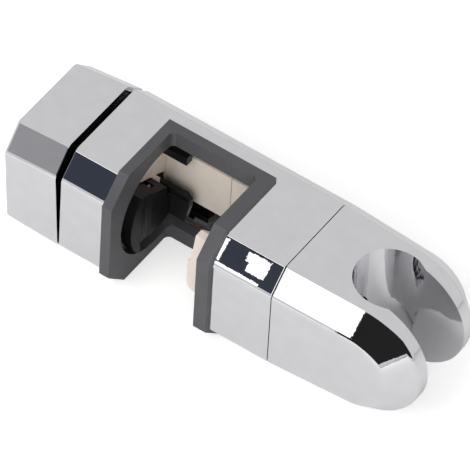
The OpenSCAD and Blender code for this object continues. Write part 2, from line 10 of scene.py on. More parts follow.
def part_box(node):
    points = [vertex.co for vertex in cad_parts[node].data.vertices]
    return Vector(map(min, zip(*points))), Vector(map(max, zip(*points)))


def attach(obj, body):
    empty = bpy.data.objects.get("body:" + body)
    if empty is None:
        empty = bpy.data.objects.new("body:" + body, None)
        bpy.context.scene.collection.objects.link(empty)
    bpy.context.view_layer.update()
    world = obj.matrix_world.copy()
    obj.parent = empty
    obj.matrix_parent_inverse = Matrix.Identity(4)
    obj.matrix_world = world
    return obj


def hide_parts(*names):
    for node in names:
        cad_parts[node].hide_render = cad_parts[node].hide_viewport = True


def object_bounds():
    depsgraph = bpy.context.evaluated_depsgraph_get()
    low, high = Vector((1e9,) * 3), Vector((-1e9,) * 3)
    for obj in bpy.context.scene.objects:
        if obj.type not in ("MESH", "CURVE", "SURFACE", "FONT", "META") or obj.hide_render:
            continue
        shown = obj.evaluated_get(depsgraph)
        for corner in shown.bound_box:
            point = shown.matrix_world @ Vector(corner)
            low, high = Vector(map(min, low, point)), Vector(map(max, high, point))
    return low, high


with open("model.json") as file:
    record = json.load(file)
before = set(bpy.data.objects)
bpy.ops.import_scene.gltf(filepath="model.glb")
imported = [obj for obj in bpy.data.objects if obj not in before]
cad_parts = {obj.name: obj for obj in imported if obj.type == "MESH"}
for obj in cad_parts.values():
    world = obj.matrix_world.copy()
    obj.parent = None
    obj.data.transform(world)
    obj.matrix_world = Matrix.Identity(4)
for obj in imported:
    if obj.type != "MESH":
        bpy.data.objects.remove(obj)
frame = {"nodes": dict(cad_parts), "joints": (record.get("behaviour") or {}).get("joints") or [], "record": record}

bl_info = {
    "name": "Shower Rail Slider",
    "version": (1, 0, 0),
    "blender": (4, 5, 0),
    "location": "View3D > Sidebar > Slider",
    "description": "Dresses a chrome shower rail slider with its notch, brake jaw, release cap and fork",
    "category": "Object",
}

MM = 0.001
# Points this near to a plane count as on it
TOUCH = 0.02 * MM
# Edges that fold less than this are shaded smooth
SMOOTH_FOLD = math.radians(28)
# Edges that fold more than this are rounded: the fork's outer edges, and the rims at the gap and the seam
FORK_FOLD = math.radians(36)
RIM_FOLD = math.radians(60)
# Most of a noise texture's values lie between these two
NOISE_LOW, NOISE_HIGH = 0.3, 0.7
X_AXIS = Vector((1, 0, 0))

CAD_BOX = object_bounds()
SHELL_LOW, SHELL_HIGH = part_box("body_shell")
FORK_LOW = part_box("handset_fork")[0]
FRAME_LOW, FRAME_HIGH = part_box("rail_frame")
JOINTS = {joint["name"]: joint for joint in frame["joints"]}
CAP_PIN = Vector(JOINTS["cap_press"]["pos_m"])
CAP_LEAN = math.radians(JOINTS["cap_press"]["range_deg"][1])
MOUNTS = {mount["name"]: mount for mount in frame["record"]["mounts"]}
BORE_AXIS = Vector(MOUNTS["handset_seat"]["pos_m"])
MIDDLE_Y = (SHELL_LOW.y + SHELL_HIGH.y) / 2


class ShellSizes(bpy.types.PropertyGroup):
    edge_cut: FloatProperty(
        name="Edge cut", description="Leg of the slanted long edges", default=6.8 * MM, unit="LENGTH")
    edge_round: FloatProperty(
        name="Edge round", description="Radius on the shells' long edges", default=0.9 * MM, unit="LENGTH")
    end_round: FloatProperty(
        name="End round", description="Radius on the edges at the cap gap and the swivel seam",
        default=0.3 * MM, unit="LENGTH")
    wall: FloatProperty(
        name="Wall", description="Wall of the body and the cap", default=2.2 * MM, unit="LENGTH")
    end_wall: FloatProperty(
        name="End wall", description="Wall of the body at the swivel", default=4 * MM, unit="LENGTH")
    bush_radius: FloatProperty(
        name="Bush radius", description="Radius of the bush's hole in the end wall",
        default=9.56 * MM, unit="LENGTH")
    cap_gap: FloatProperty(
        name="Cap gap", description="Gap at the cap when it is pressed", default=0.35 * MM, unit="LENGTH")
    cap_length: FloatProperty(
        name="Cap length", description="Length of the cap", default=17.2 * MM, unit="LENGTH")
    cap_end_wall: FloatProperty(
        name="Cap end wall", description="Wall of the cap's closed end", default=3.3 * MM, unit="LENGTH")
    cap_taper: FloatProperty(
        name="Cap taper", description="Distance that the cap draws in", default=0.9 * MM, unit="LENGTH")


class NotchSizes(bpy.types.PropertyGroup):
    rim: FloatProperty(
        name="Rim", description="Distance from the middle plane to the frame's back face",
        default=9.2 * MM, unit="LENGTH")
    proud: FloatProperty(
        name="Proud", description="Distance that the frame stands out of the body",
        default=1.2 * MM, unit="LENGTH")
    near_wall: FloatProperty(
        name="Jaw wall", description="Frame wall on the jaw's side", default=3.1 * MM, unit="LENGTH")
    far_wall: FloatProperty(
        name="Fork wall", description="Frame wall on the fork's side", default=4 * MM, unit="LENGTH")
    bar_thickness: FloatProperty(
        name="Bar thickness", description="Thickness of the bars at the back of the notch",
        default=3 * MM, unit="LENGTH")
    bar_height: FloatProperty(
        name="Bar height", description="Height of the bars at the back of the notch",
        default=5.2 * MM, unit="LENGTH")
    jaw_opening: FloatProperty(
        name="Jaw opening", description="Radius of the round opening for the jaw",
        default=16.8 * MM, unit="LENGTH")
    opening_y: FloatProperty(
        name="Opening offset", description="Opening's centre from the middle plane",
        default=0.6 * MM, unit="LENGTH")
    opening_z: FloatProperty(
        name="Opening height", description="Opening's centre above mid height",
        default=-0.8 * MM, unit="LENGTH")
    corner_round: FloatProperty(
        name="Corner round", description="Radius in the notch's inner corners",
        default=1.6 * MM, unit="LENGTH")
    edge_round: FloatProperty(
        name="Edge round", description="Radius on the frame's edges", default=0.35 * MM, unit="LENGTH")


class ForkSizes(bpy.types.PropertyGroup):
    end_radius: FloatProperty(
        name="End radius", description="Radius of the round end", default=18.8 * MM, unit="LENGTH")
    end_width: FloatProperty(
        name="End width", description="Width at the bore's axis", default=38.4 * MM, unit="LENGTH")
    bore_top: FloatProperty(
        name="Bore top", description="Radius of the bore at the top", default=10.05 * MM, unit="LENGTH")
    bore_bottom: FloatProperty(
        name="Bore bottom", description="Radius of the bore at the bottom", default=8.9 * MM, unit="LENGTH")
    slot_width: FloatProperty(
        name="Slot width", description="Width of the hose slot", default=17 * MM, unit="LENGTH")
    seam_gap: FloatProperty(
        name="Seam gap", description="Gap at the swivel seam", default=0.15 * MM, unit="LENGTH")
    spigot_radius: FloatProperty(
        name="Spigot radius", description="Radius of the spigot in the bush", default=8 * MM, unit="LENGTH")
    screw_hole: FloatProperty(
        name="Screw hole", description="Radius of the screw's hole", default=2.1 * MM, unit="LENGTH")
    access_hole: FloatProperty(
        name="Access hole", description="Radius of the hole for the screw's head",
        default=3.8 * MM, unit="LENGTH")
    head_seat: FloatProperty(
        name="Head seat", description="Distance from the seam to the screw head's seat",
        default=8.4 * MM, unit="LENGTH")


class Finishes(bpy.types.PropertyGroup):
    chrome: FloatVectorProperty(
        name="Chrome", description="Chrome plate", subtype="COLOR", default=(0.8, 0.8, 0.82))
    grey: FloatVectorProperty(
        name="Grey", description="Frame's moulding", subtype="COLOR", default=(0.073, 0.073, 0.08))
    cream: FloatVectorProperty(
        name="Cream", description="Guide and pads", subtype="COLOR", default=(0.77, 0.69, 0.61))
    black: FloatVectorProperty(
        name="Black", description="Jaw and levers", subtype="COLOR", default=(0.007, 0.007, 0.008))
    steel: FloatVectorProperty(
        name="Steel", description="Screws and pins", subtype="COLOR", default=(0.55, 0.56, 0.58))
    brass: FloatVectorProperty(
        name="Brass", description="Swivel nut", subtype="COLOR", default=(0.70, 0.55, 0.28))


class StageSizes(bpy.types.PropertyGroup):
    azimuth: FloatProperty(
        name="Azimuth", description="Camera's azimuth", default=math.radians(32.442), subtype="ANGLE")
    elevation: FloatProperty(
        name="Elevation", description="Camera's elevation", default=math.radians(48.756), subtype="ANGLE")
    roll: FloatProperty(
        name="Roll", description="Camera's roll", default=math.radians(3.511), subtype="ANGLE")
    distance: FloatProperty(
        name="Distance", description="Camera's distance", default=2.2205, unit="LENGTH")
    lens: FloatProperty(
        name="Lens", description="Focal length in millimetres on a 36 mm sensor", default=642.7)
    target: FloatVectorProperty(
        name="Target", description="Point at the middle of the picture", subtype="TRANSLATION",
        default=(SHELL_LOW.x + 41.613 * MM, MIDDLE_Y + 1.716 * MM, 0))
    edge_middle: FloatProperty(
        name="Edge middle", description="Distance of the slant's middle from the body's sides",
        default=3.4 * MM, unit="LENGTH")
    card_reach: FloatProperty(
        name="Card reach", description="Distance of the cards from the slanted edge",
        default=16 * MM, unit="LENGTH")
    floor_size: FloatProperty(
        name="Floor size", description="Side of the square floor", default=6, unit="LENGTH")
    lamp_size: FloatProperty(
        name="Lamp size", description="Side of the square lamps", default=0.5, unit="LENGTH")


def deselect():
    bpy.ops.object.select_all(action="DESELECT")


def activate(piece):
    deselect()
    piece.select_set(True)
    bpy.context.view_layer.objects.active = piece


def settle(piece):
    """Puts the piece's place, turn and size into its mesh."""
    activate(piece)
    bpy.ops.object.transform_apply(location=True, rotation=True, scale=True)
    return piece


def block(name, low, high):
    """A box between two corners."""
    deselect()
    low, high = Vector(low), Vector(high)
    bpy.ops.mesh.primitive_cube_add(size=1, location=(low + high) / 2, scale=high - low)
    piece = bpy.context.object
    piece.name = name
    return settle(piece)


def rod(name, start, length, radius, axis, end_radius=None, sides=96):
    """A cylinder, or a cone where end_radius differs, from start along an axis."""
    deselect()
    centre = Vector(start) + Vector(axis) * length / 2
    turn = Vector((0, 0, 1)).rotation_difference(Vector(axis)).to_euler()
    far = radius if end_radius is None else end_radius
    bpy.ops.mesh.primitive_cone_add(
        vertices=sides, radius1=radius, radius2=far, depth=length, location=centre, rotation=turn)
    piece = bpy.context.object
    piece.name = name
    return settle(piece)


def pick(piece, test, kind="EDGE"):
    """Goes into edit mode with just those edges or faces selected that pass the test."""
    activate(piece)
    bpy.ops.object.mode_set(mode="EDIT")
    bpy.ops.mesh.select_mode(type=kind)
    bpy.ops.mesh.select_all(action="DESELECT")
    mesh = bmesh.from_edit_mesh(piece.data)
    for item in mesh.edges if kind == "EDGE" else mesh.faces:
        if test(item):
            item.select_set(True)
    mesh.select_flush_mode()
    bmesh.update_edit_mesh(piece.data)


def leave():
    bpy.ops.object.mode_set(mode="OBJECT")


def lies_at_x(item, x):
    """True for an edge or a face on the plane across the slider at x."""
    return all(abs(vert.co.x - x) < TOUCH for vert in item.verts)


def runs_along_x(edge, slack=0.12):
    """True for an edge that runs along the body, taper and lean included."""
    run = edge.verts[1].co - edge.verts[0].co
    return run.length > MM and abs(run.x) > run.length * math.cos(slack)


def folds(edge, angle):
    """True for an edge whose two faces meet at more than the angle."""
    return len(edge.link_faces) == 2 and edge.calc_face_angle(0) > angle


def round_off(piece, test, radius, segments=3):
    pick(piece, test)
    bpy.ops.mesh.bevel(
        offset_type="OFFSET", offset=radius, segments=segments, profile=0.5, affect="EDGES",
        clamp_overlap=True)
    leave()


def combine(piece, other, operation):
    """Joins another solid to the piece, or takes it away."""
    activate(piece)
    change = piece.modifiers.new("combine", "BOOLEAN")
    change.operation = operation
    change.solver = "EXACT"
    change.object = other
    bpy.ops.object.modifier_apply(modifier=change.name)
    bpy.data.objects.remove(other)


def round_edges(piece, radius, fold, segments):
    """Rounds every edge that folds more than the given angle."""
    soft = piece.modifiers.new("rounded edges", "BEVEL")
    soft.limit_method = "ANGLE"
    soft.angle_limit = fold
    soft.width = radius
    soft.segments = segments
    activate(piece)
    bpy.ops.object.modifier_apply(modifier=soft.name)


def tidy_mesh(piece):
    """Merges doubled points and turns every face outwards."""
    activate(piece)
    bpy.ops.object.mode_set(mode="EDIT")
    bpy.ops.mesh.select_all(action="SELECT")
    bpy.ops.mesh.remove_doubles(threshold=0.002 * MM)
    bpy.ops.mesh.normals_make_consistent(inside=False)
    leave()


def flatten_normals(piece, lead=4):
    """Gives corners on a large flat face that face's own normal, so that it mirrors as a flat mirror."""
    mesh = piece.data
    around = [[] for _ in mesh.vertices]
    for face in mesh.polygons:
        for vertex in face.vertices:
            around[vertex].append(face)
    normals = []
    for face in mesh.polygons:
        for corner in face.loop_indices:
            near = [other for other in around[mesh.loops[corner].vertex_index]
                    if other.normal.angle(face.normal, 0) < SMOOTH_FOLD]
            largest = max(near, key=lambda other: other.area)
            rest = [other.area for other in near if other.normal.angle(largest.normal, 0) > 0.01]
            flat = not rest or largest.area > lead * max(rest)
            normals.append(largest.normal.copy() if flat else mesh.corner_normals[corner].vector.copy())
    mesh.normals_split_custom_set(normals)


def dress(piece, body, slot, *nodes):
    """Smooths a finished piece, gives it its finish and fastens it to its body."""
    tidy_mesh(piece)
    activate(piece)
    bpy.ops.object.shade_smooth_by_angle(angle=SMOOTH_FOLD)
    weight = piece.modifiers.new("flat faces", "WEIGHTED_NORMAL")
    weight.mode = "FACE_AREA"
    weight.weight = 100
    weight.keep_sharp = True
    bpy.ops.object.modifier_apply(modifier=weight.name)
    flatten_normals(piece)
    piece.data.materials.clear()
    piece.data.materials.append(finish_of(slot))
    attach(piece, body)
    if nodes:
        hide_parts(*nodes)


def softened(node, name, radius):
    """A copy of a moulding with its edges rounded."""
    source = frame["nodes"][node]
    piece = bpy.data.objects.new(name, source.data.copy())
    bpy.context.scene.collection.objects.link(piece)
    activate(piece)
    bpy.ops.object.mode_set(mode="EDIT")
    bpy.ops.mesh.select_all(action="SELECT")
    bpy.ops.mesh.remove_doubles(threshold=0.005 * MM)
    bpy.ops.mesh.dissolve_limited(angle_limit=math.radians(0.6))
    bpy.ops.mesh.normals_make_consistent(inside=False)
    leave()
    round_edges(piece, radius, math.radians(34), segments=2)
    return piece


def new_material(kind):
    """A material that isn't taken for the frame's plain one, which has the kind's bare name."""
    material = bpy.data.materials.new(f"finished_{kind}")
    material.use_nodes = True
    tree = material.node_tree
    return material, tree, tree.nodes["Principled BSDF"]


def noise(tree, scale, detail, stretch=(1, 1, 1)):
    """Noise in the object's own coordinates."""
    place = tree.nodes.new("ShaderNodeTexCoord")
    mapping = tree.nodes.new("ShaderNodeMapping")
    mapping.inputs["Scale"].default_value = stretch
    texture = tree.nodes.new("ShaderNodeTexNoise")
    texture.inputs["Scale"].default_value = scale
    texture.inputs["Detail"].default_value = detail
    tree.links.new(place.outputs["Object"], mapping.inputs["Vector"])
    tree.links.new(mapping.outputs["Vector"], texture.inputs["Vector"])
    return texture.outputs["Fac"]


def spread(tree, value, low, high):
    """Maps a texture's value to a range of numbers."""
    ramp = tree.nodes.new("ShaderNodeMapRange")
    ramp.inputs["From Min"].default_value = NOISE_LOW
    ramp.inputs["From Max"].default_value = NOISE_HIGH
    ramp.inputs["To Min"].default_value = low
    ramp.inputs["To Max"].default_value = high
    tree.links.new(value, ramp.inputs["Value"])
    return ramp.outputs["Result"]


def relief(tree, height, depth, below=None):
    """Bump from a texture's value, as deep as depth."""
    bump = tree.nodes.new("ShaderNodeBump")
    bump.inputs["Distance"].default_value = depth
    tree.links.new(height, bump.inputs["Height"])
    if below is not None:
        tree.links.new(below, bump.inputs["Normal"])
    return bump.outputs["Normal"]


def tinted(tree, value, color, change):
    """The colour, a little darker and lighter with the value."""
    ramp = tree.nodes.new("ShaderNodeValToRGB")
    dark, light = ramp.color_ramp.elements
    dark.position, light.position = NOISE_LOW, NOISE_HIGH
    dark.color = [part * (1 - change) for part in color] + [1]
    light.color = [part * (1 + change) for part in color] + [1]
    tree.links.new(value, ramp.inputs["Fac"])
    return ramp.outputs["Color"]


def chrome_plate(kind, color):
    """Bright chrome over a moulding that is a little wavy and pitted, with faint wiping marks."""
    material, tree, shader = new_material(kind)
    shader.inputs["Metallic"].default_value = 1
    cloudy = noise(tree, scale=220, detail=5)
    tree.links.new(tinted(tree, cloudy, color, change=0.025), shader.inputs["Base Color"])
    wiped = noise(tree, scale=900, detail=4, stretch=(1, 0.15, 0.15))
    tree.links.new(spread(tree, wiped, low=0.012, high=0.03), shader.inputs["Roughness"])
    wavy = relief(tree, noise(tree, scale=90, detail=2), depth=0.02 * MM)
    pitted = relief(tree, noise(tree, scale=700, detail=3), depth=0.012 * MM, below=wavy)
    tree.links.new(pitted, shader.inputs["Normal"])
    return material


def moulded(kind, color, roughness, grain, depth, change, specular=0.5):
    """Moulded plastic with a fine grain and a slightly uneven colour."""
    material, tree, shader = new_material(kind)
    uneven = noise(tree, scale=160, detail=3)
    fine = noise(tree, scale=grain, detail=2)
    tree.links.new(tinted(tree, uneven, color, change), shader.inputs["Base Color"])
    rough = spread(tree, fine, low=0.9 * roughness, high=1.12 * roughness)
    tree.links.new(rough, shader.inputs["Roughness"])
    shader.inputs["Specular IOR Level"].default_value = specular
    tree.links.new(relief(tree, fine, depth), shader.inputs["Normal"])
    return material


def metal(kind, color, roughness):
    """Plated or turned metal with fine lines."""
    material, tree, shader = new_material(kind)
    shader.inputs["Base Color"].default_value = (*color, 1)
    shader.inputs["Metallic"].default_value = 1
    lines = noise(tree, scale=2200, detail=2, stretch=(1, 0.1, 0.1))
    rough = spread(tree, lines, low=0.8 * roughness, high=1.25 * roughness)
    tree.links.new(rough, shader.inputs["Roughness"])
    tree.links.new(relief(tree, lines, depth=0.01 * MM), shader.inputs["Normal"])
    return material


def finish_of(kind):
    """The finished material of that kind, made once."""
    made = bpy.data.materials.get(f"finished_{kind}")
    if made:
        return made
    colors = bpy.context.scene.slider_finishes
    if kind == "chrome_plate":
        return chrome_plate(kind, colors.chrome)
    if kind == "grey_plastic":
        return moulded(kind, colors.grey, roughness=0.42, grain=5200, depth=0.012 * MM, change=0.06)
    if kind == "cream_plastic":
        return moulded(kind, colors.cream, roughness=0.34, grain=2600, depth=0.008 * MM, change=0.05)
    if kind == "black_plastic":
        return moulded(kind, colors.black, roughness=0.36, grain=4200, depth=0.01 * MM, change=0.2,
                       specular=0.25)
    if kind == "plated_steel":
        return metal(kind, colors.steel, roughness=0.28)
    if kind == "nut_brass":
        return metal(kind, colors.brass, roughness=0.3)
    raise ValueError(f"No finish is known for {kind}")


def eight_sided(name, low, high, leg, wanted=lambda edge: True):
    """A bar along X with slanted long edges, on all four or on those wanted."""
    bar = block(name, low, high)
    pick(bar, lambda edge: runs_along_x(edge) and wanted(edge))
    bpy.ops.mesh.bevel(offset_type="OFFSET", offset=leg, segments=1, affect="EDGES")
    leave()
    return bar


def hollow_out(piece, x, wall, depth):
    """Sinks a pocket with an even wall into the end face at x, along X."""
    pick(piece, lambda face: lies_at_x(face, x), "FACE")
    bpy.ops.mesh.inset(thickness=wall, use_even_offset=True)
    bpy.ops.mesh.extrude_region_move(TRANSFORM_OT_translate={"value": (depth, 0, 0)})
    leave()


class SLIDER_OT_body_shell(bpy.types.Operator):
    """Model the chrome body between the cap gap and the swivel seam"""
    bl_idname = "slider.body_shell"
    bl_label = "Body shell"

    def execute(self, context):
        sizes = context.scene.slider_shell
        notch = context.scene.slider_notch
        mouth, seam = SHELL_LOW.x, SHELL_HIGH.x
        shell = eight_sided("body", SHELL_LOW, SHELL_HIGH, sizes.edge_cut)
        round_off(shell, runs_along_x, sizes.edge_round, segments=4)
        hollow_out(shell, mouth, sizes.wall, seam - mouth - sizes.end_wall)
        round_off(shell, lambda edge: folds(edge, RIM_FOLD)
                  and (lies_at_x(edge, mouth) or lies_at_x(edge, seam)), sizes.end_round)
        combine(shell, block("notch", (FRAME_LOW.x, SHELL_LOW.y - MM, FRAME_LOW.z),
                             (FRAME_HIGH.x, MIDDLE_Y + notch.rim, FRAME_HIGH.z)), "DIFFERENCE")
        combine(shell, rod("bush hole", (seam - 2 * sizes.end_wall, MIDDLE_Y, 0), 3 * sizes.end_wall,
                           sizes.bush_radius, X_AXIS), "DIFFERENCE")
        dress(shell, "body", "chrome_plate", "body_shell")
        return {"FINISHED"}


class SLIDER_OT_release_cap(bpy.types.Operator):
    """Model the chrome cap that leans out and is pressed to free the jaw"""
    bl_idname = "slider.release_cap"
    bl_label = "Release cap"

    def execute(self, context):
        sizes = context.scene.slider_shell
        mouth = SHELL_LOW.x - sizes.cap_gap
        end = mouth - sizes.cap_length
        cap = block("cap", (end, SHELL_LOW.y, SHELL_LOW.z), (mouth, SHELL_HIGH.y, SHELL_HIGH.z))
        self.draw_in(cap, end, sizes.cap_taper)
        pick(cap, runs_along_x)
        bpy.ops.mesh.bevel(offset_type="OFFSET", offset=sizes.edge_cut, segments=1, affect="EDGES")
        leave()
        round_off(cap, lambda edge: not lies_at_x(edge, mouth), sizes.edge_round, segments=4)
        hollow_out(cap, mouth, sizes.wall, sizes.cap_end_wall - sizes.cap_length)
        round_off(cap, lambda edge: folds(edge, RIM_FOLD) and lies_at_x(edge, mouth), sizes.end_round)
        lean = Matrix.Rotation(-CAP_LEAN, 4, "Y")
        cap.matrix_world = Matrix.Translation(CAP_PIN) @ lean @ Matrix.Translation(-CAP_PIN)
        settle(cap)
        dress(cap, "cap", "chrome_plate", "release_cap")
        return {"FINISHED"}

    @staticmethod
    def draw_in(cap, end, taper):
        """Makes the closed end smaller than the mouth: by the taper at the top, the bottom and one side."""
        pick(cap, lambda face: lies_at_x(face, end), "FACE")
        height = SHELL_HIGH.z - SHELL_LOW.z
        width = SHELL_HIGH.y - SHELL_LOW.y
        bpy.ops.transform.resize(value=(1, 1 - taper / width, 1 - 2 * taper / height),
                                 center_override=(end, MIDDLE_Y, 0))
        leave()


class SLIDER_OT_handset_fork(bpy.types.Operator):
    """Model the chrome fork with its round end, tapered bore and hose slot"""
    bl_idname = "slider.handset_fork"
    bl_label = "Handset fork"

    def execute(self, context):
        sizes = context.scene.slider_fork
        shell = context.scene.slider_shell
        seam = SHELL_HIGH.x + sizes.seam_gap
        fork = self.neck_and_round_end(sizes, shell, seam)
        round_off(fork, lambda edge: folds(edge, FORK_FOLD) and not lies_at_x(edge, seam),
                  shell.edge_round, segments=4)
        round_off(fork, lambda edge: lies_at_x(edge, seam), shell.end_round)
        self.cut_bore_and_slot(fork, sizes)
        combine(fork, rod("spigot", (FORK_LOW.x, MIDDLE_Y, 0), seam - FORK_LOW.x + MM,
                          sizes.spigot_radius, X_AXIS), "UNION")
        self.cut_screw_hole(fork, sizes)
        dress(fork, "fork", "chrome_plate", "handset_fork")
        return {"FINISHED"}

    @staticmethod
    def neck_and_round_end(sizes, shell, seam):
        """A neck that draws in, whose last section is spun half a turn round the end."""
        end = BORE_AXIS.x
        fork = block("fork", (seam, SHELL_LOW.y, SHELL_LOW.z), (end, SHELL_HIGH.y, SHELL_HIGH.z))
        pick(fork, lambda face: lies_at_x(face, end), "FACE")
        shrink = (1, sizes.end_width / (SHELL_HIGH.y - SHELL_LOW.y),
                  2 * sizes.end_radius / (SHELL_HIGH.z - SHELL_LOW.z))
        bpy.ops.transform.resize(value=shrink, center_override=(end, MIDDLE_Y, 0))
        leave()
        pick(fork, runs_along_x)
        bpy.ops.mesh.bevel(offset_type="OFFSET", offset=shell.edge_cut, segments=1, affect="EDGES")
        bpy.ops.mesh.select_all(action="SELECT")
        bpy.ops.mesh.bisect(plane_co=(0, 0, 0), plane_no=(0, 0, 1))
        leave()
        pick(fork, lambda face: lies_at_x(face, end), "FACE")
        bpy.ops.mesh.delete(type="ONLY_FACE")
        leave()
        # The upper half of the open rim is spun down to meet the lower half
        pick(fork, lambda edge: lies_at_x(edge, end) and len(edge.link_faces) == 1
             and all(vert.co.z > -TOUCH for vert in edge.verts))
        bpy.ops.mesh.spin(steps=48, angle=-math.pi, center=(end, MIDDLE_Y, 0), axis=(0, 1, 0))
        bpy.ops.mesh.select_all(action="SELECT")
        bpy.ops.mesh.remove_doubles(threshold=0.01 * MM)
        bpy.ops.mesh.delete_loose(use_verts=True, use_edges=True, use_faces=False)
        bpy.ops.mesh.select_all(action="SELECT")
        bpy.ops.mesh.normals_make_consistent(inside=False)
        leave()
        return fork

    @staticmethod
    def cut_bore_and_slot(fork, sizes):
        """Takes out the tapered bore and the slot for the hose."""
        low, high = SHELL_LOW.z, SHELL_HIGH.z
        bore = rod("bore", (BORE_AXIS.x, MIDDLE_Y, low), high - low, sizes.bore_bottom, (0, 0, 1),
                   sizes.bore_top, sides=128)
        slot = block("slot", (BORE_AXIS.x, MIDDLE_Y - sizes.slot_width / 2, 2 * low),
                     (BORE_AXIS.x + 2 * sizes.end_radius, MIDDLE_Y + sizes.slot_width / 2, 2 * high))
        combine(fork, bore, "DIFFERENCE")
        combine(fork, slot, "DIFFERENCE")

    @staticmethod
    def cut_screw_hole(fork, sizes):
        """Drills the screw's hole through the spigot and the wider hole for its head from the bore."""
        hole = rod("hole", (FORK_LOW.x - MM, MIDDLE_Y, 0), BORE_AXIS.x - FORK_LOW.x, sizes.screw_hole,
                   X_AXIS, sides=48)
        combine(fork, hole, "DIFFERENCE")
        seat = SHELL_HIGH.x + sizes.head_seat
        access = rod("access", (seat, MIDDLE_Y, 0), BORE_AXIS.x - seat, sizes.access_hole, X_AXIS, sides=64)
        combine(fork, access, "DIFFERENCE")


class SLIDER_OT_rail_frame(bpy.types.Operator):
    """Model the grey frame that lines the rail notch"""
    bl_idname = "slider.rail_frame"
    bl_label = "Rail frame"

    def execute(self, context):
        sizes = context.scene.slider_notch
        shell = context.scene.slider_shell
        # With this leg the frame's slant stands as proud of the body's as its faces do
        leg = shell.edge_cut + sizes.proud * (2 - math.sqrt(2))
        rim = MIDDLE_Y + sizes.rim
        back = rim - sizes.bar_thickness
        jaw_side, fork_side = FRAME_LOW.x + sizes.near_wall, FRAME_HIGH.x - sizes.far_wall
        trim = eight_sided("frame", FRAME_LOW, (FRAME_HIGH.x, rim, FRAME_HIGH.z), leg,
                           lambda edge: edge.verts[0].co.y < MIDDLE_Y)
        combine(trim, block("notch", (jaw_side, 2 * FRAME_LOW.y, 2 * FRAME_LOW.z),
                            (fork_side, back, 2 * FRAME_HIGH.z)), "DIFFERENCE")
        round_off(trim, lambda edge: all(abs(vert.co.y - back) < TOUCH for vert in edge.verts)
                  and abs(edge.verts[0].co.z - edge.verts[1].co.z) > MM, sizes.corner_round, segments=5)
        gap = FRAME_HIGH.z - sizes.bar_height
        combine(trim, block("window", (jaw_side, MIDDLE_Y, -gap), (fork_side, 2 * FRAME_HIGH.y, gap)),
                "DIFFERENCE")
        combine(trim, rod("opening", (FRAME_LOW.x - MM, MIDDLE_Y + sizes.opening_y, sizes.opening_z),
                          sizes.near_wall + 2 * MM, sizes.jaw_opening, X_AXIS, sides=128), "DIFFERENCE")
        tidy_mesh(trim)
        round_edges(trim, sizes.edge_round, math.radians(30), segments=3)
        dress(trim, "body", "grey_plastic", "rail_frame")
        return {"FINISHED"}


class SLIDER_OT_cream_pads(bpy.types.Operator):
    """Model the cream guide plate, back pads and fixed jaw"""
    bl_idname = "slider.cream_pads"
    bl_label = "Guide and pads"

    def execute(self, context):
        pads = (("jaw_guide", "guide", 0.15 * MM), ("back_pad", "rear_pad", 0.12 * MM),
                ("back_pad_end", "rear_pad_end", 0.12 * MM), ("fixed_jaw", "seat_jaw", 0.5 * MM))
        for node, name, radius in pads:
            dress(softened(node, name, radius), "body", "cream_plastic", node)
        return {"FINISHED"}


class SLIDER_OT_brake_jaw(bpy.types.Operator):
    """Model the black brake jaw"""
    bl_idname = "slider.brake_jaw"
    bl_label = "Brake jaw"

    def execute(self, context):
        dress(softened("brake_jaw", "jaw", 0.3 * MM), "jaw", "black_plastic", "brake_jaw")
        return {"FINISHED"}


class SLIDER_OT_inner_parts(bpy.types.Operator):
    """Give the inner pieces, screws and pins their finishes"""
    bl_idname = "slider.inner_parts"
    bl_label = "Inner parts"

    def execute(self, context):
        slots = {part["node"]: part["material_slot"] for part in frame["record"]["subparts"]}
        for node, piece in frame["nodes"].items():
            piece.data.materials.clear()
            piece.data.materials.append(finish_of(slots[node]))
        return {"FINISHED"}


